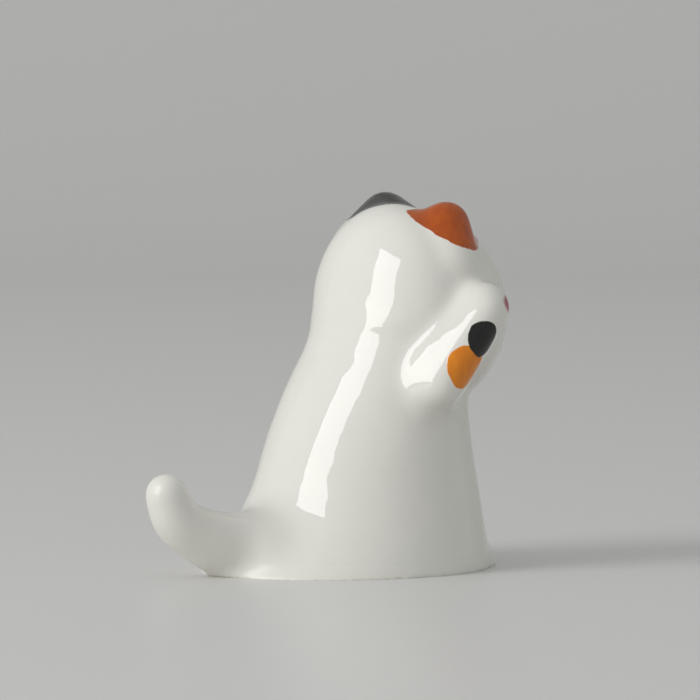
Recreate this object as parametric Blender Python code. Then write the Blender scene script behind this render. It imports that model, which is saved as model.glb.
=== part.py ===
"""Seated lucky cat, a small glazed porcelain ornament cast in one piece.

Metres, +Z up. The cat faces -Y and its right side is towards -X. The origin lies on the
resting plane, under the middle of the body. Places on the cat are given as forward, right
and up. Overlapping round forms are fused into one skin, softened as glaze softens a
casting, trimmed flat underneath and hollowed through a vent, as slip casting leaves it.
"""
import math

import bpy
import bmesh
from mathutils import Matrix, Vector

# Body: an oval cone that leans forward as it rises to the neck
BASE_HALF_LENGTH = 0.0136
BASE_HALF_WIDTH = 0.0126
NECK_HEIGHT = 0.0232
NECK_FORWARD = 0.0027
NECK_HALF_LENGTH = 0.0080
NECK_HALF_WIDTH = 0.0098
NECK_DOME = 0.0045
TAPER_POWER = 1.35
LEAN_POWER = 3.2
BASE_TRIM = 0.0024

# Flare: how far the foot of the body spreads backwards and sideways, below a height
FLARE_REACH = 0.0052
FLARE_SPREAD = 0.0016
FLARE_HEIGHT = 0.0110

# Head: a face egg, with a narrower crown egg behind it, leaning to the raised paw
HEAD_HEIGHT = 0.0272
HEAD_FORWARD = 0.0065
HEAD_HALF_LENGTH = 0.0090
HEAD_HALF_WIDTH = 0.0116
HEAD_HALF_HEIGHT = 0.0108
HEAD_LEAN_DEG = 3.0
CROWN_BACK = 0.0028
CROWN_RISE = 0.0004
CROWN_HALF_LENGTH = 0.0072
CROWN_HALF_WIDTH = 0.0108
CROWN_HALF_HEIGHT = 0.0112

# Nape: an upright egg that fills the neck
NAPE_FORWARD = 0.0034
NAPE_HEIGHT = 0.0245
NAPE_HALF_LENGTH = 0.0076
NAPE_HALF_WIDTH = 0.0104
NAPE_HALF_HEIGHT = 0.0115

# Muzzle and nose
MUZZLE_DROP = 0.0034
MUZZLE_SPREAD = 0.0018
MUZZLE_RADIUS = 0.0027
MUZZLE_SINK = 0.0019
NOSE_RADIUS = 0.0008

# Ears: blunt wedges, each wrapped round a ball at its tip and two at its root
EAR_TIP_FORWARD = -0.0003
EAR_TIP_SPREAD = 0.0056
EAR_TIP_RISE = 0.0098
EAR_TIP_RADIUS = 0.0026
EAR_INNER_FORWARD = -0.0006
EAR_INNER_SPREAD = 0.0026
EAR_INNER_RISE = 0.0087
EAR_INNER_RADIUS = 0.0030
EAR_OUTER_FORWARD = -0.0008
EAR_OUTER_SPREAD = 0.0070
EAR_OUTER_RISE = 0.0054
EAR_OUTER_RADIUS = 0.0035

# Right arm, raised beside the cheek; its depth is how much thicker it is inwards
ARM_SHOULDER_RIGHT = 0.0066
ARM_SHOULDER_FORWARD = 0.0006
ARM_SHOULDER_HEIGHT = 0.0154
ARM_SHOULDER_RADIUS = 0.0034
ARM_ELBOW_RIGHT = 0.0086
ARM_ELBOW_FORWARD = 0.0017
ARM_ELBOW_HEIGHT = 0.0199
ARM_ELBOW_RADIUS = 0.0039
ARM_PAW_RIGHT = 0.0112
ARM_PAW_FORWARD = 0.0073
ARM_PAW_HEIGHT = 0.0280
ARM_PAW_RADIUS = 0.0029
ARM_DEPTH = 0.0022

# Left arm, lowered on the chest
REST_SHOULDER_RIGHT = -0.0072
REST_SHOULDER_FORWARD = 0.0052
REST_SHOULDER_HEIGHT = 0.0172
REST_PAW_RIGHT = -0.0034
REST_PAW_FORWARD = 0.0112
REST_PAW_HEIGHT = 0.0098
REST_RADIUS = 0.0025

# Front feet
FOOT_SPREAD = 0.0050
FOOT_FORWARD = 0.0096
FOOT_SINK = 0.0015
FOOT_HALF_LENGTH = 0.0036
FOOT_HALF_WIDTH = 0.0034
FOOT_HALF_HEIGHT = 0.0060

# Haunch: a low egg, joined to the root of the tail
HAUNCH_BACK = 0.0050
HAUNCH_HALF_LENGTH = 0.0060
HAUNCH_HALF_WIDTH = 0.0100
HAUNCH_HALF_HEIGHT = 0.0060

# Tail, curling up behind
TAIL_ROOT_BACK = 0.0140
TAIL_ROOT_HEIGHT = 0.0023
TAIL_ROOT_RADIUS = 0.0046
TAIL_ROOT_HALF_WIDTH = 0.0062
TAIL_LOWER_BACK = 0.0191
TAIL_LOWER_HEIGHT = 0.0036
TAIL_LOWER_RADIUS = 0.0035
TAIL_MIDDLE_BACK = 0.0220
TAIL_MIDDLE_HEIGHT = 0.0048
TAIL_MIDDLE_RADIUS = 0.00295
TAIL_UPPER_BACK = 0.0244
TAIL_UPPER_HEIGHT = 0.0063
TAIL_UPPER_RADIUS = 0.00265
TAIL_TIP_BACK = 0.0257
TAIL_TIP_HEIGHT = 0.0090
TAIL_TIP_RADIUS = 0.00235

# Blend: the zone where the flanks are smoothed into the tail
BLEND_BACK = 0.0110
BLEND_HEIGHT = 0.0030
BLEND_HALF_LENGTH = 0.0110
BLEND_HALF_WIDTH = 0.0160
BLEND_HALF_HEIGHT = 0.0095
BLEND_STEPS = 160
BLEND_FALL = 1.5

# Casting: wall, underside and vent
WALL = 0.0026
VENT_RADIUS = 0.0020
VENT_BACK = 0.0055

# Paint on the ears
EAR_PAINT_SPREAD = 0.0053
EAR_PAINT_FORWARD = 0.0
EAR_PAINT_RISE = 0.0091
EAR_PAINT_FALL_DEG = 13.0
EAR_PAINT_SPLAY_DEG = 23.0
EAR_PAINT_GAP = 0.0018

# Painted spots on the outer side of the raised arm
SPOT_DROP_DEG = 20.0
SPOT_TURN_DEG = 6.0
BLACK_SPOT_SHARE = 0.72
BLACK_SPOT_RADIUS = 0.0019
ORANGE_SPOT_SHARE = 0.36
ORANGE_SPOT_RADIUS = 0.0024

# Fineness of the fused skin and of the painted edges
GRAIN = 0.00040
SOFTENING_STEPS = 26
SKIN_SHARE = 0.10
SKIN_SIDES = 64
CAVITY_SIDES = 24
BODY_STEPS = 12
DOME_STEPS = 5
SPOT_SIDES = 12
SNAP = 0.00002


def place(forward, right, up):
    """A point on the cat, from its own directions."""
    return Vector((-right, -forward, up))


def ceramic(name, colour, roughness):
    """A plain ceramic finish."""
    material = bpy.data.materials.new(name)
    material.use_nodes = True
    material.diffuse_color = (*colour, 1.0)
    shader = material.node_tree.nodes["Principled BSDF"]
    shader.inputs["Base Color"].default_value = (*colour, 1.0)
    shader.inputs["Roughness"].default_value = roughness
    shader.inputs["Metallic"].default_value = 0.0
    return material


def add_egg(clay, centre, half_axes, turn=None, sides=SKIN_SIDES):
    """Add an egg with its three half axes along X, Y and Z, then turned."""
    matrix = Matrix.Translation(centre) @ (turn or Matrix()) @ Matrix.Diagonal((*half_axes, 1.0))
    bmesh.ops.create_uvsphere(clay, u_segments=sides, v_segments=sides // 2, radius=1.0,
                              matrix=matrix)


def add_limb(clay, stations):
    """Add a round limb through stations of point and radius, with a ball at each end."""
    curve = bpy.data.curves.new("limb", "CURVE")
    curve.dimensions = "3D"
    curve.bevel_depth = 1.0
    curve.bevel_resolution = 6
    curve.use_fill_caps = True
    spline = curve.splines.new("BEZIER")
    spline.bezier_points.add(len(stations) - 1)
    for knot, (point, radius) in zip(spline.bezier_points, stations):
        knot.co = point
        knot.radius = radius
        knot.handle_left_type = "AUTO"
        knot.handle_right_type = "AUTO"
    guide = bpy.data.objects.new("limb", curve)
    bpy.context.collection.objects.link(guide)
    clay.from_mesh(applied_mesh(guide))
    bpy.data.objects.remove(guide)
    for point, radius in (stations[0], stations[-1]):
        add_egg(clay, point, (radius, radius, radius))


def add_hull(clay, eggs):
    """Add the hull wrapped round eggs, each given as centre and half axes."""
    forms = bmesh.new()
    for centre, half_axes in eggs:
        add_egg(forms, centre, half_axes)
    wrap = bmesh.new()
    for corner in forms.verts:
        wrap.verts.new(corner.co)
    forms.free()
    hull = bmesh.ops.convex_hull(wrap, input=wrap.verts)
    inside = {item for item in hull["geom_interior"] if isinstance(item, bmesh.types.BMVert)}
    bmesh.ops.delete(wrap, geom=list(inside), context="VERTS")
    mesh = bpy.data.meshes.new("wrap")
    wrap.to_mesh(mesh)
    wrap.free()
    clay.from_mesh(mesh)
    bpy.data.meshes.remove(mesh)


def add_stack(clay, rings, sides=SKIN_SIDES):
    """Add a closed form from level oval rings of centre, half length and half width."""
    loops = []
    for centre, half_length, half_width in rings:
        loop = []
        for side in range(sides):
            angle = math.tau * side / sides
            offset = place(half_length * math.sin(angle), half_width * -math.cos(angle), 0.0)
            loop.append(clay.verts.new(centre + offset))
        loops.append(loop)
    for lower, upper in zip(loops, loops[1:]):
        for side in range(sides):
            following = (side + 1) % sides
            clay.faces.new((lower[following], lower[side], upper[side], upper[following]))
    clay.faces.new(loops[0])
    clay.faces.new(reversed(loops[-1]))


def applied_mesh(source):
    """The mesh of an object with its modifiers applied."""
    graph = bpy.context.evaluated_depsgraph_get()
    return bpy.data.meshes.new_from_object(source.evaluated_get(graph))


def flare(height):
    """How much of the flare the body has at a height, falling from 1 at the base to 0."""
    return max(1.0 - height / FLARE_HEIGHT, 0.0) ** 2


def body_rings(inset, lowest, flare_share):
    """The body's rings from its lowest height up through the neck dome, moved in by a wall."""
    rings = []
    for step in range(BODY_STEPS + 1):
        height = lowest + (NECK_HEIGHT - lowest) * step / BODY_STEPS
        rise = max(height, 0.0) / NECK_HEIGHT
        taper = rise ** TAPER_POWER
        half_length = BASE_HALF_LENGTH + (NECK_HALF_LENGTH - BASE_HALF_LENGTH) * taper - inset
        half_width = BASE_HALF_WIDTH + (NECK_HALF_WIDTH - BASE_HALF_WIDTH) * taper - inset
        half_width += FLARE_SPREAD * flare(height) * flare_share
        half_reach = 0.5 * FLARE_REACH * flare(height) * flare_share
        centre = place(NECK_FORWARD * rise ** LEAN_POWER - half_reach, 0.0, height)
        rings.append((centre, half_length + half_reach, half_width))
    neck, half_length, half_width = rings[-1]
    for step in range(1, DOME_STEPS):
        angle = math.radians(90.0) * step / DOME_STEPS
        lift = Vector((0.0, 0.0, NECK_DOME * math.sin(angle)))
        shrink = math.cos(angle)
        rings.append((neck + lift, half_length * shrink, half_width * shrink))
    return rings


def head_lean():
    """The sideways lean of the head, towards the raised paw."""
    return Matrix.Rotation(math.radians(-HEAD_LEAN_DEG), 4, "Y")


def on_head(forward, right, up):
    """A point measured from the middle of the head, along its leaning directions."""
    return place(HEAD_FORWARD, 0.0, HEAD_HEIGHT) + head_lean() @ place(forward, right, up)


def add_face(clay, inset, sides=SKIN_SIDES):
    """Add the face egg, moved in by a wall."""
    half_axes = (HEAD_HALF_WIDTH - inset, HEAD_HALF_LENGTH - inset, HEAD_HALF_HEIGHT - inset)
    add_egg(clay, on_head(0.0, 0.0, 0.0), half_axes, head_lean(), sides)


def add_crown(clay):
    """Add the crown egg, behind the face egg."""
    half_axes = (CROWN_HALF_WIDTH, CROWN_HALF_LENGTH, CROWN_HALF_HEIGHT)
    add_egg(clay, on_head(-CROWN_BACK, 0.0, CROWN_RISE), half_axes, head_lean())


def add_nape(clay):
    """Add the nape egg."""
    half_axes = (NAPE_HALF_WIDTH, NAPE_HALF_LENGTH, NAPE_HALF_HEIGHT)
    add_egg(clay, place(NAPE_FORWARD, 0.0, NAPE_HEIGHT), half_axes)


def add_muzzle(clay):
    """Add the two muzzle pads and the nose, low on the front of the head."""
    reach = HEAD_HALF_LENGTH * math.sqrt(1.0 - (MUZZLE_DROP / HEAD_HALF_HEIGHT) ** 2)
    for side in (-1.0, 1.0):
        centre = on_head(reach - MUZZLE_SINK, side * MUZZLE_SPREAD, -MUZZLE_DROP)
        add_egg(clay, centre, (MUZZLE_RADIUS, MUZZLE_RADIUS, MUZZLE_RADIUS))
    nose = on_head(reach + MUZZLE_SINK - NOSE_RADIUS, 0.0, MUZZLE_SPREAD - MUZZLE_DROP)
    add_egg(clay, nose, (NOSE_RADIUS, NOSE_RADIUS, NOSE_RADIUS))


def add_ears(clay):
    """Add both ears; side is 1 on the cat's right and -1 on its left."""
    balls = [
        (EAR_TIP_FORWARD, EAR_TIP_SPREAD, EAR_TIP_RISE, EAR_TIP_RADIUS),
        (EAR_INNER_FORWARD, EAR_INNER_SPREAD, EAR_INNER_RISE, EAR_INNER_RADIUS),
        (EAR_OUTER_FORWARD, EAR_OUTER_SPREAD, EAR_OUTER_RISE, EAR_OUTER_RADIUS),
    ]
    for side in (-1.0, 1.0):
        add_hull(clay, [(on_head(forward, side * spread, rise), (radius, radius, radius))
                        for forward, spread, rise, radius in balls])


def raised_arm():
    """The elbow and the paw of the raised arm."""
    elbow = place(ARM_ELBOW_FORWARD, ARM_ELBOW_RIGHT, ARM_ELBOW_HEIGHT)
    paw = place(ARM_PAW_FORWARD, ARM_PAW_RIGHT, ARM_PAW_HEIGHT)
    return elbow, paw


def add_arms(clay):
    """Add the raised arm and the arm that rests on the chest."""
    elbow, paw = raised_arm()
    shoulder = place(ARM_SHOULDER_FORWARD, ARM_SHOULDER_RIGHT, ARM_SHOULDER_HEIGHT)
    for depth in (0.0, ARM_DEPTH):
        inward = place(0.0, -depth, 0.0)
        add_limb(clay, [(shoulder + inward, ARM_SHOULDER_RADIUS),
                        (elbow + inward, ARM_ELBOW_RADIUS),
                        (paw + inward, ARM_PAW_RADIUS)])
    rest_shoulder = place(REST_SHOULDER_FORWARD, REST_SHOULDER_RIGHT, REST_SHOULDER_HEIGHT)
    rest_paw = place(REST_PAW_FORWARD, REST_PAW_RIGHT, REST_PAW_HEIGHT)
    add_limb(clay, [(rest_shoulder, REST_RADIUS), (rest_paw, REST_RADIUS)])


def add_feet(clay):
    """Add both front feet, standing on the resting plane."""
    for side in (-1.0, 1.0):
        centre = place(FOOT_FORWARD, side * FOOT_SPREAD, -FOOT_SINK)
        add_egg(clay, centre, (FOOT_HALF_WIDTH, FOOT_HALF_LENGTH, FOOT_HALF_HEIGHT))


def add_tail(clay):
    """Add the tail, and the haunch that widens into it."""
    root = place(-TAIL_ROOT_BACK, 0.0, TAIL_ROOT_HEIGHT)
    add_limb(clay, [
        (root, TAIL_ROOT_RADIUS),
        (place(-TAIL_LOWER_BACK, 0.0, TAIL_LOWER_HEIGHT), TAIL_LOWER_RADIUS),
        (place(-TAIL_MIDDLE_BACK, 0.0, TAIL_MIDDLE_HEIGHT), TAIL_MIDDLE_RADIUS),
        (place(-TAIL_UPPER_BACK, 0.0, TAIL_UPPER_HEIGHT), TAIL_UPPER_RADIUS),
        (place(-TAIL_TIP_BACK, 0.0, TAIL_TIP_HEIGHT), TAIL_TIP_RADIUS),
    ])
    add_hull(clay, [
        (root, (TAIL_ROOT_HALF_WIDTH, TAIL_ROOT_RADIUS, TAIL_ROOT_RADIUS)),
        (place(-HAUNCH_BACK, 0.0, 0.0), (HAUNCH_HALF_WIDTH, HAUNCH_HALF_LENGTH, HAUNCH_HALF_HEIGHT)),
    ])


def new_object(name, clay, material):
    """An object in the scene made from collected forms."""
    mesh = bpy.data.meshes.new(name)
    bmesh.ops.recalc_face_normals(clay, faces=clay.faces)
    clay.to_mesh(mesh)
    clay.free()
    mesh.materials.append(material)
    item = bpy.data.objects.new(name, mesh)
    bpy.context.collection.objects.link(item)
    return item


def fused_skin(clay, material):
    """The forms fused into one soft closed skin."""
    rough = new_object("clay", clay, material)
    remesh = rough.modifiers.new("fuse", "REMESH")
    remesh.mode = "VOXEL"
    remesh.voxel_size = GRAIN
    rough.data = applied_mesh(rough)
    rough.modifiers.clear()
    soften = rough.modifiers.new("soften", "SMOOTH")
    soften.factor = 0.5
    soften.iterations = SOFTENING_STEPS
    blend = rough.modifiers.new("blend", "SMOOTH")
    blend.factor = 0.5
    blend.iterations = BLEND_STEPS
    blend.vertex_group = blend_zone(rough).name
    thin = rough.modifiers.new("thin", "DECIMATE")
    thin.ratio = SKIN_SHARE
    skin = bpy.data.objects.new("cat_figurine", applied_mesh(rough))
    bpy.context.collection.objects.link(skin)
    bpy.data.objects.remove(rough)
    return skin


def blend_zone(rough):
    """Weights round the root of the tail, falling away from 1 to 0."""
    zone = rough.vertex_groups.new(name="blend")
    centre = place(-BLEND_BACK, 0.0, BLEND_HEIGHT)
    half_axes = (BLEND_HALF_WIDTH, BLEND_HALF_LENGTH, BLEND_HALF_HEIGHT)
    for corner in rough.data.vertices:
        away = Vector(gap / reach for gap, reach in zip(corner.co - centre, half_axes))
        if away.length_squared < 1.0:
            zone.add([corner.index], (1.0 - away.length_squared) ** BLEND_FALL, "REPLACE")
    return zone


def cutter(name, clay, material):
    """A hidden form that is taken away from the casting."""
    item = new_object(name, clay, material)
    item.display_type = "WIRE"
    item.hide_render = True
    return item


def take_away(target, tool):
    """Cut a form out of the casting; the new faces keep the cutter's finish."""
    cut = target.modifiers.new(tool.name, "BOOLEAN")
    cut.operation = "DIFFERENCE"
    cut.solver = "EXACT"
    cut.material_mode = "TRANSFER"
    cut.object = tool


def floor_cutter(material):
    """A slab under the resting plane."""
    clay = bmesh.new()
    reach = 4.0 * TAIL_TIP_BACK
    matrix = Matrix.Translation((0.0, 0.0, -reach / 2.0)) @ Matrix.Diagonal((reach, reach, reach, 1.0))
    bmesh.ops.create_cube(clay, size=1.0, matrix=matrix)
    return cutter("below_base", clay, material)


def hollow_cutters(material):
    """The cavities of body and head, and the vent under the base."""
    body = bmesh.new()
    add_stack(body, body_rings(WALL, WALL, 0.0), CAVITY_SIDES)
    head = bmesh.new()
    add_face(head, WALL, CAVITY_SIDES)
    vent = bmesh.new()
    bmesh.ops.create_cone(vent, cap_ends=True, segments=CAVITY_SIDES, radius1=VENT_RADIUS,
                          radius2=VENT_RADIUS, depth=4.0 * WALL,
                          matrix=Matrix.Translation(place(-VENT_BACK, 0.0, 0.0)))
    return [cutter("body_cavity", body, material), cutter("head_cavity", head, material),
            cutter("vent", vent, material)]


def paint(skin, material, planes):
    """Give a finish to the faces that lie behind every plane, cutting them at its edge."""
    shape = bmesh.new()
    shape.from_mesh(skin.data)
    inside = shape.faces[:]
    for point, normal in planes:
        touched = set(inside)
        geometry = inside + list({edge for face in inside for edge in face.edges})
        geometry += list({corner for face in inside for corner in face.verts})
        cut = bmesh.ops.bisect_plane(shape, geom=geometry, dist=SNAP, plane_co=point, plane_no=normal)
        touched.update(item for item in cut["geom"] if isinstance(item, bmesh.types.BMFace))
        inside = [face for face in touched if face.is_valid
                  and (face.calc_center_median() - point).dot(normal) < 0.0]
    if material.name not in skin.data.materials:
        skin.data.materials.append(material)
    slot = skin.data.materials.find(material.name)
    for face in inside:
        face.material_index = slot
    bmesh.ops.triangulate(shape, faces=[face for face in shape.faces if len(face.verts) > 3])
    shape.to_mesh(skin.data)
    shape.free()


def ear_planes(side):
    """The planes that bound one ear's paint: across its root, and between the two ears."""
    edge = on_head(EAR_PAINT_FORWARD, side * EAR_PAINT_SPREAD, EAR_PAINT_RISE)
    fall = math.radians(EAR_PAINT_FALL_DEG)
    splay = math.radians(EAR_PAINT_SPLAY_DEG)
    downward = place(-math.sin(fall), -side * math.sin(splay), -math.cos(fall))
    middle = on_head(0.0, side * EAR_PAINT_GAP, 0.0)
    return [(edge, head_lean() @ downward), (middle, head_lean() @ place(0.0, -side, 0.0))]


def spot_planes(share, radius):
    """The planes round a spot on the outer side of the raised arm, and one behind it."""
    elbow, paw = raised_arm()
    drop = math.radians(SPOT_DROP_DEG)
    turn = math.radians(SPOT_TURN_DEG)
    outward = place(math.sin(turn) * math.cos(drop), math.cos(turn) * math.cos(drop), -math.sin(drop))
    reach = ARM_ELBOW_RADIUS + (ARM_PAW_RADIUS - ARM_ELBOW_RADIUS) * share
    root = elbow.lerp(paw, share)
    planes = [(root, -outward)]
    across = outward.cross(Vector((0.0, 0.0, 1.0))).normalized()
    for side in range(SPOT_SIDES):
        angle = math.tau * side / SPOT_SIDES
        rim = Matrix.Rotation(angle, 3, outward) @ across
        planes.append((root + outward * reach + rim * radius, rim))
    return planes


def clear_scene():
    """Remove every object that the scene starts with."""
    for item in list(bpy.data.objects):
        bpy.data.objects.remove(item)


def main():
    """Build the figurine."""
    clear_scene()
    white = ceramic("white_glaze", (0.80, 0.79, 0.74), 0.08)
    black = ceramic("black_paint", (0.012, 0.011, 0.010), 0.10)
    orange = ceramic("orange_paint", (0.42, 0.09, 0.015), 0.10)
    amber = ceramic("amber_paint", (0.65, 0.22, 0.025), 0.10)
    biscuit = ceramic("bare_biscuit", (0.72, 0.69, 0.62), 0.75)

    clay = bmesh.new()
    add_stack(clay, body_rings(0.0, -BASE_TRIM, 1.0))
    add_face(clay, 0.0)
    add_crown(clay)
    add_nape(clay)
    add_muzzle(clay)
    add_ears(clay)
    add_arms(clay)
    add_feet(clay)
    add_tail(clay)

    cat = fused_skin(clay, white)
    cat.data.shade_smooth()
    paint(cat, black, ear_planes(-1.0))
    paint(cat, orange, ear_planes(1.0))
    paint(cat, amber, spot_planes(ORANGE_SPOT_SHARE, ORANGE_SPOT_RADIUS))
    paint(cat, black, spot_planes(BLACK_SPOT_SHARE, BLACK_SPOT_RADIUS))

    take_away(cat, floor_cutter(biscuit))
    for tool in hollow_cutters(biscuit):
        take_away(cat, tool)


main()
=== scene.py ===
"""Looks of the seated lucky cat: its fine porcelain skin, glaze, brushwork, studio and camera.

Metres, in the frame of the solid. The cat faces -Y and its right side is towards -X.
"""

import math

import bmesh
import bpy
from mathutils import Matrix, Vector, noise


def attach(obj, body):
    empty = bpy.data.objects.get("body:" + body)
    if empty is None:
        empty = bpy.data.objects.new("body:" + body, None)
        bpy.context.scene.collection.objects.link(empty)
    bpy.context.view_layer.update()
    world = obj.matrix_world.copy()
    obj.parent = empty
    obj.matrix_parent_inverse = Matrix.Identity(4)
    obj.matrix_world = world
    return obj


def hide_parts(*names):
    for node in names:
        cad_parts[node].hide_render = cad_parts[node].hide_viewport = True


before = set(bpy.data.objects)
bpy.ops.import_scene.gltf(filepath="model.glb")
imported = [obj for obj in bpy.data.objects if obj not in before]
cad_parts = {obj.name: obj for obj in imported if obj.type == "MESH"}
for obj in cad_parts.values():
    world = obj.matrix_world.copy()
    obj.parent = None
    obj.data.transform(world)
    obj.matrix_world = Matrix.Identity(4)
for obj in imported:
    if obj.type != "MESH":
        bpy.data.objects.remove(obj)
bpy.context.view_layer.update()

MM = 0.001

# Fineness of the skin. The trimmed foot is softened to round its rim, then lowered and trimmed
# again, so that it stands flat.
GRAIN = 0.25 * MM
SMOOTH_FACTOR = 0.5
SOFTENING_STEPS = 66
FORM_SIDES = 128
LIMB_STEPS = 24
LIMB_BEVEL_STEPS = 12
CAVITY_GRAIN = 0.45 * MM
FOOT_RIM_STEPS = 14
FOOT_RIM_DROP = 0.08 * MM
TRIM_SNAP = 0.001 * MM
SHARP_ANGLE_DEG = 40.0

# Body
BASE_HALF_LENGTH = 13.6 * MM
BASE_HALF_WIDTH = 12.6 * MM
NECK_HEIGHT = 23.2 * MM
NECK_FORWARD = 2.7 * MM
NECK_HALF_LENGTH = 8.0 * MM
NECK_HALF_WIDTH = 9.8 * MM
NECK_DOME = 4.5 * MM
TAPER_POWER = 1.35
LEAN_POWER = 3.2
BASE_TRIM = 2.4 * MM
BODY_STEPS = 48
DOME_STEPS = 12

# Flare of the foot, back towards the tail and a little to the sides
FLARE_REACH = 5.2 * MM
FLARE_SPREAD = 1.6 * MM
FLARE_HEIGHT = 11.0 * MM

# Head
HEAD_HEIGHT = 27.2 * MM
HEAD_FORWARD = 6.5 * MM
HEAD_HALF_LENGTH = 9.0 * MM
HEAD_HALF_WIDTH = 11.6 * MM
HEAD_HALF_HEIGHT = 10.8 * MM
HEAD_LEAN_DEG = 3.0
CROWN_BACK = 2.8 * MM
CROWN_RISE = 0.4 * MM
CROWN_HALF_AXES = (10.8 * MM, 7.2 * MM, 11.2 * MM)
NAPE_FORWARD = 3.4 * MM
NAPE_HEIGHT = 24.5 * MM
NAPE_HALF_AXES = (10.4 * MM, 7.6 * MM, 11.5 * MM)

# Muzzle and nose
MUZZLE_DROP = 3.4 * MM
MUZZLE_SPREAD = 1.8 * MM
MUZZLE_RADIUS = 2.7 * MM
MUZZLE_SINK = 1.9 * MM
NOSE_RADIUS = 0.8 * MM

# Ears, each the hull of balls: forward, right and up from the middle of the head, and radius
RIGHT_EAR_BALLS = (
    (-0.3 * MM, 5.6 * MM, 9.8 * MM, 2.6 * MM),
    (-0.6 * MM, 3.3 * MM, 8.5 * MM, 2.8 * MM),
    (-0.8 * MM, 7.0 * MM, 5.4 * MM, 3.5 * MM),
)
LEFT_EAR_BALLS = (
    (-0.1 * MM, -5.6 * MM, 9.9 * MM, 2.6 * MM),
    (-0.6 * MM, -2.6 * MM, 8.7 * MM, 3.0 * MM),
    (-2.2 * MM, -7.0 * MM, 5.9 * MM, 3.4 * MM),
)
EAR_ROOT_SPREAD = 5.3 * MM

# Arms: the ridge is the outer edge of the raised one
ARM_SHOULDER = (0.6 * MM, 6.6 * MM, 15.4 * MM)
ARM_SHOULDER_RADIUS = 3.4 * MM
ARM_ELBOW = (1.7 * MM, 8.6 * MM, 19.9 * MM)
ARM_ELBOW_RADIUS = 3.9 * MM
ARM_PAW = (6.64 * MM, 12.1 * MM, 28.0 * MM)
ARM_PAW_RADIUS = 2.9 * MM
ARM_DEPTH = 2.2 * MM
RIDGE_ELBOW = (1.36 * MM, 11.9 * MM, 20.3 * MM)
RIDGE_ELBOW_RADIUS = 2.4 * MM
RIDGE_PAW = (6.1 * MM, 13.4 * MM, 27.7 * MM)
RIDGE_PAW_RADIUS = 2.3 * MM
REST_SHOULDER = (5.2 * MM, -7.2 * MM, 17.2 * MM)
REST_PAW = (11.2 * MM, -3.4 * MM, 9.8 * MM)
REST_RADIUS = 2.5 * MM

# Feet
FOOT_SPREAD = 5.0 * MM
FOOT_FORWARD = 9.6 * MM
FOOT_HEIGHT = -1.5 * MM
FOOT_HALF_AXES = (3.4 * MM, 3.6 * MM, 6.0 * MM)

# Tail, as forward, right, up and radius
TAIL = (
    (-14.0 * MM, 0.0, 2.3 * MM, 4.6 * MM),
    (-19.1 * MM, 0.0, 3.6 * MM, 3.5 * MM),
    (-22.0 * MM, 0.0, 4.8 * MM, 2.95 * MM),
    (-24.4 * MM, 0.0, 6.3 * MM, 2.65 * MM),
    (-25.7 * MM, 0.0, 9.0 * MM, 2.35 * MM),
)
TAIL_ROOT_HALF_WIDTH = 6.2 * MM
HAUNCH_BACK = 5.0 * MM
HAUNCH_HALF_AXES = (10.0 * MM, 6.0 * MM, 6.0 * MM)

# Softer zone where the flanks run into the tail
BLEND_BACK = 11.0 * MM
BLEND_HEIGHT = 3.0 * MM
BLEND_HALF_AXES = (16.0 * MM, 11.0 * MM, 9.5 * MM)
BLEND_STEPS = 420
BLEND_FALL = 1.5

# Swells where the head meets the neck, on the side of the raised arm: each
# given as forward, right, up, reach around the neck, reach in height and how far it stands out
SWELLS = (
    (-5.0 * MM, 8.1 * MM, 26.4 * MM, 4.0 * MM, 0.9 * MM, 0.54 * MM),
    (-5.0 * MM, 8.1 * MM, 23.2 * MM, 4.0 * MM, 1.2 * MM, 0.16 * MM),
)

# Unevenness of the glazed skin
RIPPLE_LENGTH = 2.6 * MM
RIPPLE_HEIGHT = 0.016 * MM

# Casting
WALL = 2.6 * MM
VENT_RADIUS = 2.0 * MM
VENT_BACK = 5.5 * MM
VENT_DEPTH = 4.0 * WALL
BARE_HEIGHT = 0.01 * MM

# Edges of the brushwork, which waver as a brush does
WOBBLE_LENGTH = 1.6 * MM
WOBBLE = 0.45 * MM
LINE_WOBBLE = 0.12 * MM
PAINT_SOFT = 0.06 * MM
LINE_SOFT = 0.04 * MM
LIMIT_SOFT = 0.1 * MM

# Paint of the ears, arm and pad, and the painted reflection on the back of the black ear
EAR_PAINT_RISE = 9.1 * MM
EAR_PAINT_FALL_DEG = 13.0
EAR_PAINT_SPLAY_DEG = 23.0
ORANGE_EAR_GAP = 2.7 * MM
BLACK_EAR_GAP = 0.5 * MM
BLACK_SPOT = (4.45 * MM, 15.1 * MM, 24.9 * MM)
BLACK_SPOT_HALF_AXES = (2.2 * MM, 1.75 * MM, 1.95 * MM)
AMBER_SPOT = (2.75 * MM, 14.5 * MM, 21.9 * MM)
AMBER_SPOT_HALF_AXES = (2.6 * MM, 2.25 * MM, 2.35 * MM)
PAD_OFFSET = (2.15 * MM, 1.3 * MM, 0.4 * MM)
PAD_HALF_AXES = (2.15 * MM, 2.15 * MM, 1.0 * MM)
PAD_SOFT = 0.22 * MM
# Painted reflection: a grey patch on the back of the black ear, measured from the middle of the
# head, that stands in for the lamp's reflection there
EAR_REFLECTION_SPOT = (-2.6 * MM, -4.8 * MM, 11.0 * MM)
EAR_REFLECTION_SPOT_HALF_AXES = (2.2 * MM, 2.2 * MM, 1.1 * MM)
EAR_REFLECTION_SPOT_SOFT = 0.35 * MM

# Glaze, with what is added to its roughness at the tip of the tail and close to the floor
BODY_ROUGHNESS = 0.35
GLAZE_ROUGHNESS = 0.02
GLAZE_IOR = 1.5
THIN_GLAZE_ROUGHNESS = 0.30
THIN_GLAZE_HEIGHT = 1.9 * MM
TAIL_TIP_REACH = 6.0 * MM
TAIL_TIP_SOFT = 3.0 * MM

# Fine relief of the glaze, and the thickness of the paint
WAVE_LENGTH = 3.4 * MM
WAVE_HEIGHT = 0.075 * MM
PEEL_LENGTH = 0.35 * MM
PEEL_HEIGHT = 0.0006 * MM
PAINT_THICKNESS = 0.03 * MM

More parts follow.
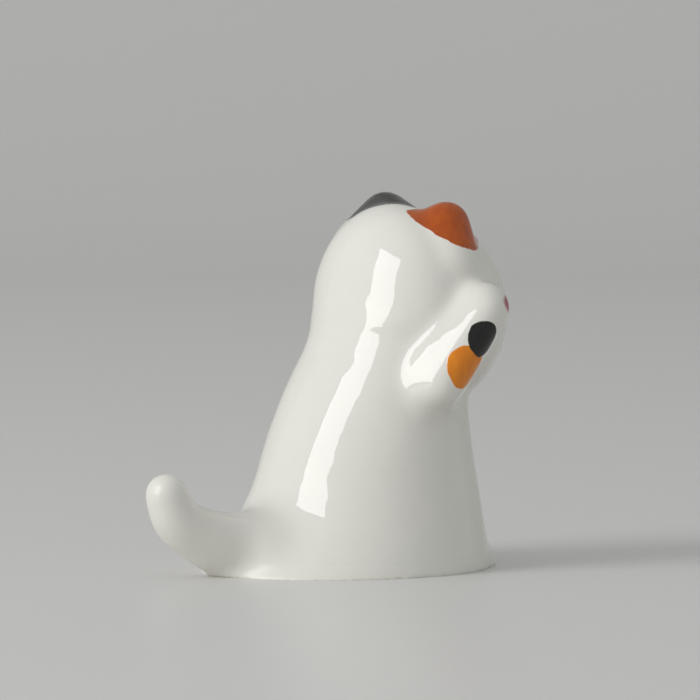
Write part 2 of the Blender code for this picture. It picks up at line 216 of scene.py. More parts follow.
# Colours: a pair is mixed by noise
FINE_LENGTH = 0.9 * MM
FINE_STRETCH = (1.0, 1.0, 0.45)
BROAD_LENGTH = 7.0 * MM
WHITE = ((0.800, 0.785, 0.715), (0.785, 0.775, 0.710))
ORANGE = ((0.47, 0.090, 0.002), (0.38, 0.062, 0.002))
AMBER = ((0.80, 0.260, 0.006), (0.70, 0.190, 0.005))
BLACK = ((0.004, 0.004, 0.003), (0.007, 0.006, 0.005))
# Grey of the painted reflection on the back of the black ear
EAR_REFLECTION_GREY = (0.055, 0.058, 0.055)
INNER_EAR_RED = (0.50, 0.085, 0.075)
PAD_RED = (0.34, 0.012, 0.030)
TOE_RED = (0.40, 0.015, 0.020)
WHISKER_RED = (0.42, 0.030, 0.020)
NOSE_RED = (0.55, 0.060, 0.060)
BARE_CLAY = ((0.70, 0.67, 0.60), (0.62, 0.59, 0.52))
BARE_CLAY_GRAIN = 0.3 * MM
BARE_CLAY_ROUGHNESS = 0.8

# Face painting, measured from the middle of the head. Only what lies ahead of FACE_LINE, which
# is measured from the middle of the foot, is painted.
FACE_LINE = 9.0 * MM
FACE_DEPTH = 8.0 * MM
EYE_SPREAD = 4.1 * MM
EYE_RISE = 0.9 * MM
EYE_HALF_AXES = (0.95 * MM, 2.2 * MM, 1.25 * MM)
EYE_SOFT = 0.05 * MM
NOSE_PAINT_RISE = -1.55 * MM
NOSE_PAINT_HALF_AXES = (1.0 * MM, 3.0 * MM, 0.65 * MM)
NOSE_PAINT_SOFT = 0.1 * MM
MOUTH = ((0.0, -2.5 * MM), (0.0, -3.5 * MM), (0.7 * MM, -4.2 * MM), (1.7 * MM, -4.3 * MM),
         (2.5 * MM, -3.7 * MM))
MOUTH_HALF_WIDTH = 0.13 * MM
INNER_EAR_SOFT = 0.2 * MM

# Whiskers: how high each starts and how much higher it ends, the places of its three points
# from the middle, and the share of the climb at the second
WHISKERS = ((-0.9 * MM, 0.7 * MM), (-1.9 * MM, 0.0), (-2.9 * MM, -0.7 * MM))
WHISKER_POINTS = (5.2 * MM, 7.0 * MM, 8.7 * MM)
WHISKER_BEND = 0.4
WHISKER_HALF_WIDTH = 0.11 * MM

# Inner ears, also measured from the middle of the head
INNER_EAR_FORWARD = 2.2 * MM
INNER_EAR_SPREAD = 5.4 * MM
INNER_EAR_RISE = 8.6 * MM
INNER_EAR_HALF_AXES = (1.7 * MM, 1.5 * MM, 2.1 * MM)

# Toe lines on the feet, the resting paw and the raised paw: forward limit, right, low and high
TOES = (
    (11.0 * MM, 4.1 * MM, 0.9 * MM, 2.6 * MM),
    (11.0 * MM, 5.7 * MM, 0.9 * MM, 2.6 * MM),
    (11.0 * MM, -4.1 * MM, 0.9 * MM, 2.6 * MM),
    (11.0 * MM, -5.7 * MM, 0.9 * MM, 2.6 * MM),
    (12.0 * MM, -2.6 * MM, 7.9 * MM, 9.3 * MM),
    (12.0 * MM, -4.0 * MM, 7.9 * MM, 9.3 * MM),
    (9.5 * MM, 10.4 * MM, 28.3 * MM, 29.6 * MM),
    (9.5 * MM, 11.6 * MM, 28.3 * MM, 29.6 * MM),
)
TOE_HALF_WIDTH = 0.12 * MM

# Camera: the photograph's frame is 700 pixels square, and the origin lies at ORIGIN_PIXEL. The
# azimuth is measured from the cat's front, and is negative towards its right.
PIXELS = 700
PIXEL_SIZE = 0.1065 * MM
ORIGIN_PIXEL = (365.0, 567.0)
VIEW_AZIMUTH_DEG = -126.0
VIEW_ELEVATION_DEG = 3.5
VIEW_DISTANCE = 0.80
SENSOR = 36.0

# Lamp, placed by its angle left of the camera and above the horizon
LAMP_LEFT_DEG = 58.0
LAMP_RISE_DEG = 25.0
LAMP_DISTANCE = 0.9
LAMP_WIDTH = 0.45
LAMP_HEIGHT = 0.655
LAMP_POWER = 4.6

# Floor, which bends up into a backdrop behind the cat, and the surroundings
FLOOR_HALF_WIDTH = 1.2
FLOOR_FRONT = 1.0
FLOOR_BACK = 0.6
BEND_RADIUS = 0.35
BEND_STEPS = 12
BACKDROP_HEIGHT = 1.6
FLOOR_COLOUR = (0.71, 0.70, 0.68)
FLOOR_ROUGHNESS = 0.35
WORLD_COLOUR = (0.49, 0.50, 0.51)


def place(forward, right, up):
    """A point on the cat, from its own directions."""
    return Vector((-right, -forward, up))


def unit_ball():
    """A ball of radius 1."""
    ball = bmesh.new()
    bmesh.ops.create_uvsphere(ball, u_segments=FORM_SIDES, v_segments=FORM_SIDES // 2, radius=1.0)
    mesh = bpy.data.meshes.new("ball")
    ball.to_mesh(mesh)
    ball.free()
    return mesh


BALL = unit_ball()


def add_egg(clay, centre, half_axes, turn=None):
    """Add an egg with its three half axes along X, Y and Z, then turned."""
    egg = BALL.copy()
    reach = Matrix.Diagonal((*half_axes, 1.0))
    egg.transform(Matrix.Translation(centre) @ (turn or Matrix()) @ reach)
    clay.from_mesh(egg)
    bpy.data.meshes.remove(egg)


def add_object(name, data):
    """A new object in the scene."""
    thing = bpy.data.objects.new(name, data)
    bpy.context.scene.collection.objects.link(thing)
    return thing


def applied_mesh(source):
    """The mesh of an object with its modifiers applied."""
    graph = bpy.context.evaluated_depsgraph_get()
    return bpy.data.meshes.new_from_object(source.evaluated_get(graph))


def taken_mesh(source):
    """The mesh of an object with its modifiers applied. The object goes."""
    mesh = applied_mesh(source)
    bpy.data.objects.remove(source)
    return mesh


def add_limb(clay, stations):
    """Add a round limb through stations of point and radius, with a ball at each end."""
    curve = bpy.data.curves.new("limb", "CURVE")
    curve.dimensions = "3D"
    curve.bevel_depth = 1.0
    curve.bevel_resolution = LIMB_BEVEL_STEPS
    curve.resolution_u = LIMB_STEPS
    curve.use_fill_caps = True
    spline = curve.splines.new("BEZIER")
    spline.bezier_points.add(len(stations) - 1)
    for knot, (point, radius) in zip(spline.bezier_points, stations):
        knot.co = point
        knot.radius = radius
        knot.handle_left_type = "AUTO"
        knot.handle_right_type = "AUTO"
    clay.from_mesh(taken_mesh(add_object("limb", curve)))
    for point, radius in (stations[0], stations[-1]):
        add_egg(clay, point, (radius, radius, radius))


def add_stack(clay, rings):
    """Add a closed form from level oval rings of centre, half length and half width."""
    loops = []
    for centre, half_length, half_width in rings:
        loop = []
        for side in range(FORM_SIDES):
            angle = math.tau * side / FORM_SIDES
            offset = place(half_length * math.sin(angle), half_width * -math.cos(angle), 0.0)
            loop.append(clay.verts.new(centre + offset))
        loops.append(loop)
    for lower, upper in zip(loops, loops[1:]):
        for side in range(FORM_SIDES):
            following = (side + 1) % FORM_SIDES
            clay.faces.new((lower[following], lower[side], upper[side], upper[following]))
    clay.faces.new(loops[0])
    clay.faces.new(reversed(loops[-1]))


def body_rings(inset, lowest):
    """The body's rings from its lowest height up through the neck dome, moved in by a wall."""
    rings = []
    for step in range(BODY_STEPS + 1):
        height = lowest + (NECK_HEIGHT - lowest) * step / BODY_STEPS
        rise = max(height, 0.0) / NECK_HEIGHT
        taper = rise ** TAPER_POWER
        half_length = BASE_HALF_LENGTH + (NECK_HALF_LENGTH - BASE_HALF_LENGTH) * taper - inset
        half_width = BASE_HALF_WIDTH + (NECK_HALF_WIDTH - BASE_HALF_WIDTH) * taper - inset
        flare = 0.0 if inset else max(1.0 - height / FLARE_HEIGHT, 0.0) ** 2
        half_reach = 0.5 * flare * FLARE_REACH
        centre = place(NECK_FORWARD * rise ** LEAN_POWER - half_reach, 0.0, height)
        rings.append((centre, half_length + half_reach, half_width + flare * FLARE_SPREAD))
    neck, half_length, half_width = rings[-1]
    for step in range(1, DOME_STEPS):
        angle = math.radians(90.0) * step / DOME_STEPS
        lift = Vector((0.0, 0.0, NECK_DOME * math.sin(angle)))
        shrink = math.cos(angle)
        rings.append((neck + lift, half_length * shrink, half_width * shrink))
    return rings


def head_lean():
    """The sideways lean of the head, towards the raised paw."""
    return Matrix.Rotation(math.radians(-HEAD_LEAN_DEG), 4, "Y")


def on_head(forward, right, up):
    """A point measured from the middle of the head, along its leaning directions."""
    return place(HEAD_FORWARD, 0.0, HEAD_HEIGHT) + head_lean() @ place(forward, right, up)


def add_face(clay, inset):
    """Add the face egg, moved in by a wall."""
    half_axes = (HEAD_HALF_WIDTH - inset, HEAD_HALF_LENGTH - inset, HEAD_HALF_HEIGHT - inset)
    add_egg(clay, on_head(0.0, 0.0, 0.0), half_axes, head_lean())


def add_muzzle(clay):
    """Add the two muzzle pads and the nose, low on the front of the head."""
    reach = HEAD_HALF_LENGTH * math.sqrt(1.0 - (MUZZLE_DROP / HEAD_HALF_HEIGHT) ** 2)
    for side in (-1.0, 1.0):
        centre = on_head(reach - MUZZLE_SINK, side * MUZZLE_SPREAD, -MUZZLE_DROP)
        add_egg(clay, centre, (MUZZLE_RADIUS, MUZZLE_RADIUS, MUZZLE_RADIUS))
    nose = on_head(reach + MUZZLE_SINK - NOSE_RADIUS, 0.0, MUZZLE_SPREAD - MUZZLE_DROP)
    add_egg(clay, nose, (NOSE_RADIUS, NOSE_RADIUS, NOSE_RADIUS))


def add_hull(clay, eggs):
    """Add the hull around eggs, each given as centre and half axes."""
    wedge = bmesh.new()
    for centre, half_axes in eggs:
        matrix = Matrix.Translation(centre) @ Matrix.Diagonal((*half_axes, 1.0))
        for point in BALL.vertices:
            wedge.verts.new(matrix @ point.co)
    hull = bmesh.ops.convex_hull(wedge, input=wedge.verts)
    inside = {part for part in hull["geom_interior"] if isinstance(part, bmesh.types.BMVert)}
    bmesh.ops.delete(wedge, geom=list(inside), context="VERTS")
    mesh = bpy.data.meshes.new("wedge")
    wedge.to_mesh(mesh)
    wedge.free()
    clay.from_mesh(mesh)
    bpy.data.meshes.remove(mesh)


def add_wrap(clay, balls):
    """Add the hull around balls, each given as centre and radius."""
    add_hull(clay, [(centre, (radius, radius, radius)) for centre, radius in balls])


def add_ears(clay):
    """Add both ears, as blunt wedges."""
    for balls in (RIGHT_EAR_BALLS, LEFT_EAR_BALLS):
        add_wrap(clay, [(on_head(*ball[:3]), ball[3]) for ball in balls])


def outer_forms():
    """Every outer form of the cat, overlapping."""
    clay = bmesh.new()
    add_stack(clay, body_rings(0.0, -BASE_TRIM))
    add_egg(clay, place(NAPE_FORWARD, 0.0, NAPE_HEIGHT), NAPE_HALF_AXES)
    add_face(clay, 0.0)
    add_egg(clay, on_head(-CROWN_BACK, 0.0, CROWN_RISE), CROWN_HALF_AXES, head_lean())
    add_muzzle(clay)
    add_ears(clay)
    for depth in (0.0, ARM_DEPTH):
        inward = place(0.0, -depth, 0.0)
        add_limb(clay, [(place(*ARM_SHOULDER) + inward, ARM_SHOULDER_RADIUS),
                        (place(*ARM_ELBOW) + inward, ARM_ELBOW_RADIUS),
                        (place(*ARM_PAW) + inward, ARM_PAW_RADIUS)])
    add_wrap(clay, [(place(*ARM_ELBOW), ARM_ELBOW_RADIUS), (place(*ARM_PAW), ARM_PAW_RADIUS),
                    (place(*RIDGE_ELBOW), RIDGE_ELBOW_RADIUS),
                    (place(*RIDGE_PAW), RIDGE_PAW_RADIUS)])
    add_limb(clay, [(place(*REST_SHOULDER), REST_RADIUS), (place(*REST_PAW), REST_RADIUS)])
    for side in (-1.0, 1.0):
        add_egg(clay, place(FOOT_FORWARD, side * FOOT_SPREAD, FOOT_HEIGHT), FOOT_HALF_AXES)
    add_limb(clay, [(place(*station[:3]), station[3]) for station in TAIL])
    root = TAIL[0]
    add_hull(clay, [(place(*root[:3]), (TAIL_ROOT_HALF_WIDTH, root[3], root[3])),
                    (place(-HAUNCH_BACK, 0.0, 0.0), HAUNCH_HALF_AXES)])
    return clay


def cavity_forms():
    """The hollow that slip casting leaves, with its vent."""
    clay = bmesh.new()
    add_stack(clay, body_rings(WALL, WALL))
    add_face(clay, WALL)
    bmesh.ops.create_cone(clay, cap_ends=True, segments=FORM_SIDES, radius1=VENT_RADIUS,
                          radius2=VENT_RADIUS, depth=VENT_DEPTH,
                          matrix=Matrix.Translation(place(-VENT_BACK, 0.0, 0.0)))
    return clay


def add_smoothing(rough, steps, group=""):
    """Soften an object by a number of steps, all over or by the weights of a vertex group."""
    smooth = rough.modifiers.new("soften", "SMOOTH")
    smooth.factor = SMOOTH_FACTOR
    smooth.iterations = steps
    smooth.vertex_group = group


def remeshed(mesh, grain, steps=0):
    """The mesh made anew at a grain, then softened by a number of steps."""
    rough = add_object("clay", mesh)
    remesh = rough.modifiers.new("fuse", "REMESH")
    remesh.mode = "VOXEL"
    remesh.voxel_size = grain
    if steps:
        add_smoothing(rough, steps)
    return taken_mesh(rough)


def fused(clay, grain):
    """The forms fused into one closed mesh."""
    mesh = bpy.data.meshes.new("clay")
    bmesh.ops.recalc_face_normals(clay, faces=clay.faces)
    clay.to_mesh(mesh)
    clay.free()
    return remeshed(mesh, grain)


def softened(mesh):
    """The mesh softened all over, and more where the flanks run into the tail."""
    rough = add_object("clay", mesh)
    add_smoothing(rough, SOFTENING_STEPS)
    zone = rough.vertex_groups.new(name="blend")
    centre = place(-BLEND_BACK, 0.0, BLEND_HEIGHT)
    for vertex in mesh.vertices:
        away = Vector(a / b for a, b in zip(vertex.co - centre, BLEND_HALF_AXES))
        if away.length_squared < 1.0:
            zone.add([vertex.index], (1.0 - away.length_squared) ** BLEND_FALL, "REPLACE")
    add_smoothing(rough, BLEND_STEPS, zone.name)
    return taken_mesh(rough)


def rippled(mesh):
    """Raise the swells of the neck, and leave the skin as faintly uneven as a glaze."""
    normals = [vertex.normal.copy() for vertex in mesh.vertices]
    for vertex, normal in zip(mesh.vertices, normals):
        lift = RIPPLE_HEIGHT * noise.noise(vertex.co / RIPPLE_LENGTH)
        for forward, right, up, reach, rise, height in SWELLS:
            away = vertex.co - place(forward, right, up)
            level = (away.x ** 2 + away.y ** 2) / reach ** 2
            lift += height * math.exp(-level - 0.5 * away.z ** 2 / rise ** 2)
        vertex.co += normal * lift


def trimmed(mesh):
    """Cut the mesh flat on the resting plane and close it."""
    shape = bmesh.new()
    shape.from_mesh(mesh)
    geometry = shape.verts[:] + shape.edges[:] + shape.faces[:]
    bmesh.ops.bisect_plane(shape, geom=geometry, dist=TRIM_SNAP, plane_co=(0.0, 0.0, 0.0),
                           plane_no=(0.0, 0.0, 1.0), clear_inner=True)
    rim = [edge for edge in shape.edges if edge.is_boundary]
    bmesh.ops.edgeloop_fill(shape, edges=rim)
    bmesh.ops.recalc_face_normals(shape, faces=shape.faces)
    shape.to_mesh(mesh)
    shape.free()


def figurine(glaze, bare):
    """The fine porcelain figurine, glazed outside and bare inside and underneath."""
    mesh = softened(fused(outer_forms(), GRAIN))
    rippled(mesh)
    trimmed(mesh)
    mesh = remeshed(mesh, GRAIN, FOOT_RIM_STEPS)
    mesh.transform(Matrix.Translation((0.0, 0.0, -FOOT_RIM_DROP)))
    trimmed(mesh)
    mesh.materials.clear()
    mesh.materials.append(glaze)
    mesh.materials.append(bare)
    for face in mesh.polygons:
        face.material_index = int(face.center.z < BARE_HEIGHT)
    cat = add_object("porcelain_cat", mesh)
    hollow = add_object("hollow", fused(cavity_forms(), CAVITY_GRAIN))
    hollow.data.materials.append(bare)
    cut = cat.modifiers.new("hollow", "BOOLEAN")
    cut.operation = "DIFFERENCE"
    cut.solver = "EXACT"
    cut.material_mode = "TRANSFER"
    cut.object = hollow
    cat.data = applied_mesh(cat)
    cat.modifiers.clear()
    bpy.data.objects.remove(hollow)
    cat.data.name = "porcelain_cat"
    cat.data.shade_smooth()
    cat.data.set_sharp_from_angle(angle=math.radians(SHARP_ANGLE_DEG))
    return cat


class Paint:
    """A small builder of shader nodes."""

    def __init__(self, material):
        self.nodes = material.node_tree.nodes
        self.links = material.node_tree.links

    def feed(self, socket, value):
        """Set a socket to a value, or link it."""
        if isinstance(value, bpy.types.NodeSocket):
            self.links.new(value, socket)
        else:
            socket.default_value = value

    def math(self, operation, first, second=0.0, third=0.0, clamp=False):
        """A scalar operation."""
        node = self.nodes.new("ShaderNodeMath")
        node.operation = operation
        node.use_clamp = clamp
        self.feed(node.inputs[0], first)
        self.feed(node.inputs[1], second)
        self.feed(node.inputs[2], third)
        return node.outputs[0]

    def vector(self, operation, first, second=(0.0, 0.0, 0.0), scale=1.0):
        """A vector operation; scalar results come back as a scalar."""
        node = self.nodes.new("ShaderNodeVectorMath")
        node.operation = operation
        self.feed(node.inputs[0], first)
        self.feed(node.inputs[1], second)
        if operation == "SCALE":
            self.feed(node.inputs["Scale"], scale)
        scalar = operation in {"DOT_PRODUCT", "LENGTH", "DISTANCE"}
        return node.outputs["Value" if scalar else "Vector"]

    def ramp(self, value, low, high, start=0.0, end=1.0):
        """A smooth step of a value between two limits."""
        node = self.nodes.new("ShaderNodeMapRange")
        node.interpolation_type = "SMOOTHSTEP"
        self.feed(node.inputs["Value"], value)
        self.feed(node.inputs["From Min"], low)
        self.feed(node.inputs["From Max"], high)
        self.feed(node.inputs["To Min"], start)
        self.feed(node.inputs["To Max"], end)
        return node.outputs["Result"]

    def noise(self, where, wavelength, detail=2.0, roughness=0.5):
        """Noise of a wavelength in metres, as its value and its colour."""
        node = self.nodes.new("ShaderNodeTexNoise")
        node.noise_dimensions = "3D"
        self.feed(node.inputs["Vector"], where)
        node.inputs["Scale"].default_value = 1.0 / wavelength
        node.inputs["Detail"].default_value = detail
        node.inputs["Roughness"].default_value = roughness
        return node.outputs["Fac"], node.outputs["Color"]

    def mix(self, factor, first, second):
        """A mix of two colours."""
        node = self.nodes.new("ShaderNodeMix")
        node.data_type = "RGBA"
        self.feed(node.inputs[0], factor)
        for socket, value in ((node.inputs[6], first), (node.inputs[7], second)):
            if isinstance(value, tuple) and len(value) == 3:
                value = (*value, 1.0)
            self.feed(socket, value)
        return node.outputs[2]

    def union(self, masks):
        """The strongest of several masks."""
        result = masks[0]
        for mask in masks[1:]:
            result = self.math("MAXIMUM", result, mask)
        return result

    def both(self, masks):
        """The weakest of several masks."""
        result = masks[0]
        for mask in masks[1:]:
            result = self.math("MINIMUM", result, mask)
        return result

    def behind(self, spot, point, normal, soft):
        """A mask of what lies behind a plane, with a soft edge."""
        along = self.vector("DOT_PRODUCT", spot, tuple(normal))
        level = self.math("SUBTRACT", along, point.dot(normal))
        return self.ramp(level, -soft, soft, 1.0, 0.0)

    def blob(self, spot, centre, half_axes, soft):
        """A mask of an egg whose half axes lie along X, Y and Z."""
        offset = self.vector("SUBTRACT", spot, tuple(centre))
        reach = self.vector("LENGTH", self.vector("DIVIDE", offset, tuple(half_axes)))
        edge = soft / min(half_axes)
        return self.ramp(reach, 1.0 - edge, 1.0 + edge, 1.0, 0.0)

    def stroke(self, flat, start, end, half_width):
        """A mask of a brush line between two points of a flattened place."""
        start = Vector(start)
        along = Vector(end) - start
        offset = self.vector("SUBTRACT", flat, tuple(start))
        share = self.math("DIVIDE", self.vector("DOT_PRODUCT", offset, tuple(along)),
                          along.length_squared, clamp=True)
        nearest = self.vector("SCALE", tuple(along), scale=share)
        gap = self.vector("DISTANCE", offset, nearest)
        return self.ramp(gap, half_width - LINE_SOFT, half_width + LINE_SOFT, 1.0, 0.0)


def front(right, up):
    """A point of the face painting, seen flat from the front."""
    point = on_head(0.0, right, up)
    return (point.x, 0.0, point.z)


def porcelain():
    """White glazed porcelain with black, orange and red brushwork under the glaze, and a grey patch
    of painted reflection on the back of the black ear.
    """
    material = bpy.data.materials.new("glazed_porcelain")
    material.use_nodes = True
    shader = material.node_tree.nodes["Principled BSDF"]
    p = Paint(material)

    where = p.nodes.new("ShaderNodeTexCoord").outputs["Object"]
    _, wobble = p.noise(where, WOBBLE_LENGTH)
    wobble = p.vector("SUBTRACT", wobble, (0.5, 0.5, 0.5))
    spot = p.vector("ADD", where, p.vector("SCALE", wobble, scale=WOBBLE))
    flat = p.vector("ADD", where, p.vector("SCALE", wobble, scale=LINE_WOBBLE))
    flat = p.vector("MULTIPLY", flat, (1.0, 0.0, 1.0))

    def ear(side, gap):
        """A mask of an ear's paint, whose edge keeps a gap to the middle of the head."""
        edge = on_head(0.0, side * EAR_ROOT_SPREAD, EAR_PAINT_RISE)
        fall = math.radians(EAR_PAINT_FALL_DEG)
        splay = math.radians(EAR_PAINT_SPLAY_DEG)
        downward = head_lean() @ place(-math.sin(fall), -side * math.sin(splay), -math.cos(fall))
        middle = on_head(0.0, side * gap, 0.0)
        inward = head_lean() @ place(0.0, -side, 0.0)
        return p.both([p.behind(spot, edge, downward, PAINT_SOFT),
                       p.behind(spot, middle, inward, PAINT_SOFT)])

    def ahead_of(forward):
        """A mask of what lies ahead of a line."""
        return p.behind(where, place(forward, 0.0, 0.0), place(-1.0, 0.0, 0.0), LIMIT_SOFT)

    def lines(points, half_width):
        """Masks of a brush line through points of the face, on both cheeks."""
        masks = []
        for side in (-1.0, 1.0):
            ends = [front(side * right, up) for right, up in points]
            masks += [p.stroke(flat, start, end, half_width) for start, end in zip(ends, ends[1:])]
        return masks

    black_ear = ear(-1.0, BLACK_EAR_GAP)
    orange_ear = ear(1.0, ORANGE_EAR_GAP)
    black_spot = p.blob(spot, place(*BLACK_SPOT), BLACK_SPOT_HALF_AXES, PAINT_SOFT)
    amber_spot = p.blob(spot, place(*AMBER_SPOT), AMBER_SPOT_HALF_AXES, PAINT_SOFT)
    pad = p.blob(spot, place(*ARM_PAW) + place(*PAD_OFFSET), PAD_HALF_AXES, PAD_SOFT)

    ahead = ahead_of(FACE_LINE)
    eyes = [p.blob(spot, on_head(FACE_DEPTH, side * EYE_SPREAD, EYE_RISE), EYE_HALF_AXES, EYE_SOFT)
            for side in (-1.0, 1.0)]
    mouth = lines(MOUTH, MOUTH_HALF_WIDTH)
    whiskers = []
    for rise, climb in WHISKERS:
        rises = (rise, rise + WHISKER_BEND * climb, rise + climb)
        whiskers += lines(list(zip(WHISKER_POINTS, rises)), WHISKER_HALF_WIDTH)
    ink = p.both([p.union(eyes + mouth), ahead])
    nose_blob = p.blob(spot, on_head(FACE_DEPTH, 0.0, NOSE_PAINT_RISE), NOSE_PAINT_HALF_AXES,
                       NOSE_PAINT_SOFT)
    nose = p.both([nose_blob, ahead])
    inner_ears = [p.blob(spot, on_head(INNER_EAR_FORWARD, side * INNER_EAR_SPREAD, INNER_EAR_RISE),
                         INNER_EAR_HALF_AXES, INNER_EAR_SOFT) for side in (-1.0, 1.0)]
    red_lines = p.both([p.union(whiskers), ahead])

    toes = []
    for forward, right, low, high in TOES:
        line = p.stroke(flat, (-right, 0.0, low), (-right, 0.0, high), TOE_HALF_WIDTH)
        toes.append(p.both([line, ahead_of(forward)]))

    fine, _ = p.noise(p.vector("MULTIPLY", where, FINE_STRETCH), FINE_LENGTH, detail=3.0)
    fine = p.ramp(fine, 0.2, 0.8)
    broad, _ = p.noise(where, BROAD_LENGTH)
    white = p.mix(p.ramp(broad, 0.3, 0.7), *WHITE)
    orange = p.mix(fine, *ORANGE)
    amber = p.mix(fine, *AMBER)
    black = p.mix(fine, *BLACK)
    # Painted reflection: the black ear gets a lighter grey patch on its back where it would mirror
    # the lamp
    painted_ear_reflection = p.blob(spot, on_head(*EAR_REFLECTION_SPOT), EAR_REFLECTION_SPOT_HALF_AXES, EAR_REFLECTION_SPOT_SOFT)
    inside_ears = p.both([p.union(inner_ears), p.union([black_ear, orange_ear])])
    colour = p.mix(orange_ear, white, orange)
    colour = p.mix(black_ear, colour, p.mix(painted_ear_reflection, black, EAR_REFLECTION_GREY))
    colour = p.mix(inside_ears, colour, INNER_EAR_RED)
    colour = p.mix(amber_spot, colour, amber)
    colour = p.mix(black_spot, colour, black)
    colour = p.mix(pad, colour, PAD_RED)
    colour = p.mix(p.union(toes), colour, TOE_RED)
    colour = p.mix(red_lines, colour, WHISKER_RED)
    colour = p.mix(nose, colour, NOSE_RED)
    colour = p.mix(ink, colour, black)
    p.feed(shader.inputs["Base Color"], colour)

    shader.inputs["Roughness"].default_value = BODY_ROUGHNESS
    shader.inputs["Specular IOR Level"].default_value = 0.0
    shader.inputs["Coat Weight"].default_value = 1.0
    shader.inputs["Coat IOR"].default_value = GLAZE_IOR
    tip_axes = (TAIL_TIP_REACH, TAIL_TIP_REACH, TAIL_TIP_REACH)
    tail_tip = p.blob(where, place(*TAIL[-1][:3]), tip_axes, TAIL_TIP_SOFT)
    up = p.nodes.new("ShaderNodeSeparateXYZ")
    p.feed(up.inputs[0], where)
    foot = p.ramp(up.outputs["Z"], 0.5 * THIN_GLAZE_HEIGHT, 1.5 * THIN_GLAZE_HEIGHT, 1.0, 0.0)
    p.feed(shader.inputs["Coat Roughness"],
           p.math("MULTIPLY_ADD", p.union([tail_tip, foot]), THIN_GLAZE_ROUGHNESS, GLAZE_ROUGHNESS))

    wave, _ = p.noise(where, WAVE_LENGTH, detail=2.0, roughness=0.45)
    peel, _ = p.noise(where, PEEL_LENGTH, detail=1.0)
    painted = p.union([orange_ear, black_ear, amber_spot, black_spot, pad])
    height = p.math("MULTIPLY", wave, WAVE_HEIGHT)
    height = p.math("MULTIPLY_ADD", peel, PEEL_HEIGHT, height)
    height = p.math("MULTIPLY_ADD", painted, PAINT_THICKNESS, height)
    bump = p.nodes.new("ShaderNodeBump")
    bump.inputs["Strength"].default_value = 1.0
    bump.inputs["Distance"].default_value = 1.0
    p.feed(bump.inputs["Height"], height)
    p.feed(shader.inputs["Normal"], bump.outputs["Normal"])
    p.feed(shader.inputs["Coat Normal"], bump.outputs["Normal"])
    return material


def biscuit():
    """Bare fired porcelain, matt and faintly grainy."""
    material = bpy.data.materials.new("bare_biscuit")
    material.use_nodes = True
    shader = material.node_tree.nodes["Principled BSDF"]
    p = Paint(material)
    where = p.nodes.new("ShaderNodeTexCoord").outputs["Object"]
    grain, _ = p.noise(where, BARE_CLAY_GRAIN, detail=4.0)
    p.feed(shader.inputs["Base Color"], p.mix(grain, *BARE_CLAY))
    shader.inputs["Roughness"].default_value = BARE_CLAY_ROUGHNESS
    return material


def flat_material(name, colour, roughness):
    """A plain studio surface."""
    material = bpy.data.materials.new(name)
    material.use_nodes = True
    shader = material.node_tree.nodes["Principled BSDF"]
    shader.inputs["Base Color"].default_value = (*colour, 1.0)
    shader.inputs["Roughness"].default_value = roughness
    return material


def outward(azimuth_deg, rise_deg):
    """The direction at an azimuth from the cat's front and an angle above the horizon."""
    azimuth = math.radians(azimuth_deg)
    rise = math.radians(rise_deg)
    return Vector((math.sin(azimuth) * math.cos(rise), -math.cos(azimuth) * math.cos(rise),
                   math.sin(rise)))


def view_axes():
    """The camera's right, up and back directions."""
    azimuth = math.radians(VIEW_AZIMUTH_DEG)
    back = outward(VIEW_AZIMUTH_DEG, VIEW_ELEVATION_DEG)
    right = Vector((math.cos(azimuth), math.sin(azimuth), 0.0))
    return right, back.cross(right), back


def add_camera():
    """Add the camera at the photograph's viewing angle, and return what it aims at."""
    right, up, back = view_axes()
    centre = PIXELS / 2.0
    slope = math.cos(math.radians(VIEW_ELEVATION_DEG))
    rise = (ORIGIN_PIXEL[1] - centre) * PIXEL_SIZE / slope
    aim = right * ((centre - ORIGIN_PIXEL[0]) * PIXEL_SIZE) + Vector((0.0, 0.0, rise))
    data = bpy.data.cameras.new("camera")
    data.sensor_width = SENSOR
    data.lens = SENSOR * VIEW_DISTANCE / (PIXELS * PIXEL_SIZE)
    data.clip_start = 0.01
    data.clip_end = 20.0
    camera = add_object("camera", data)
    pose = Matrix((right, up, back)).transposed().to_4x4()
    pose.translation = aim + back * VIEW_DISTANCE
    camera.matrix_world = pose
    bpy.context.scene.camera = camera
    return aim


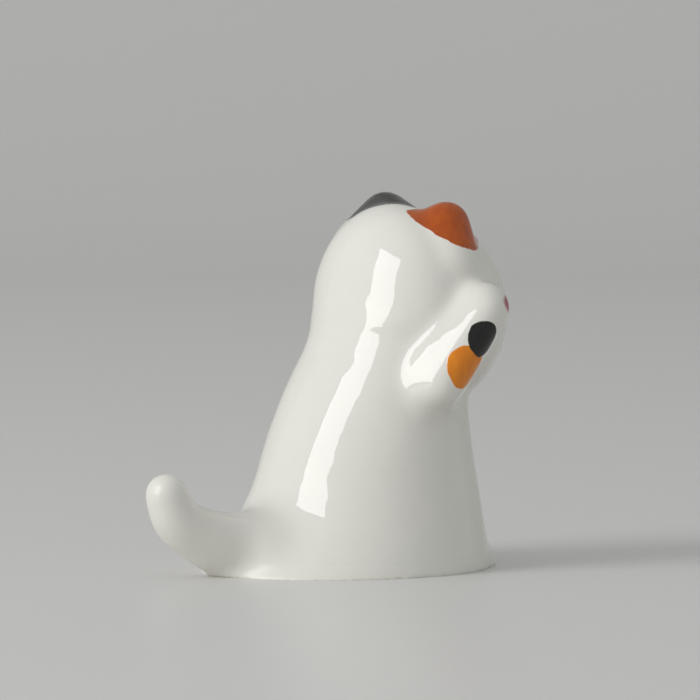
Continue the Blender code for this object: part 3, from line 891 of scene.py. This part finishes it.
def add_lamp(aim):
    """Add the one rectangular lamp, which shines at a point."""
    towards = outward(VIEW_AZIMUTH_DEG - LAMP_LEFT_DEG, LAMP_RISE_DEG)
    data = bpy.data.lights.new("key", "AREA")
    data.shape = "RECTANGLE"
    data.size = LAMP_WIDTH
    data.size_y = LAMP_HEIGHT
    data.energy = LAMP_POWER
    lamp = add_object("key", data)
    lamp.location = aim + towards * LAMP_DISTANCE
    lamp.rotation_euler = towards.to_track_quat("Z", "Y").to_euler()


def add_stage():
    """Add a pale floor that bends up into a backdrop behind the cat."""
    right, _, back = view_axes()
    behind = Vector((-back.x, -back.y, 0.0)).normalized()
    profile = [(-FLOOR_FRONT, 0.0), (FLOOR_BACK, 0.0)]
    for step in range(1, BEND_STEPS + 1):
        angle = math.radians(90.0) * step / BEND_STEPS
        profile.append((FLOOR_BACK + BEND_RADIUS * math.sin(angle),
                        BEND_RADIUS - BEND_RADIUS * math.cos(angle)))
    profile.append((FLOOR_BACK + BEND_RADIUS, BACKDROP_HEIGHT))
    shape = bmesh.new()
    rows = []
    for away, height in profile:
        rows.append([shape.verts.new(behind * away + right * side + Vector((0.0, 0.0, height)))
                     for side in (-FLOOR_HALF_WIDTH, FLOOR_HALF_WIDTH)])
    for near, far in zip(rows, rows[1:]):
        shape.faces.new((near[0], near[1], far[1], far[0]))
    mesh = bpy.data.meshes.new("floor")
    shape.to_mesh(mesh)
    shape.free()
    mesh.shade_smooth()
    mesh.materials.append(flat_material("pale_floor", FLOOR_COLOUR, FLOOR_ROUGHNESS))
    floor = add_object("floor", mesh)


def add_world():
    """Add even studio surroundings."""
    world = bpy.data.worlds.new("studio")
    world.use_nodes = True
    background = world.node_tree.nodes["Background"]
    background.inputs["Color"].default_value = (*WORLD_COLOUR, 1.0)
    background.inputs["Strength"].default_value = 1.0
    bpy.context.scene.world = world


cat = figurine(porcelain(), biscuit())
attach(cat, "root")
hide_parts("cat_figurine")

aim = add_camera()
add_stage()
add_world()
add_lamp(aim)
bpy.context.scene.view_settings.view_transform = "Standard"
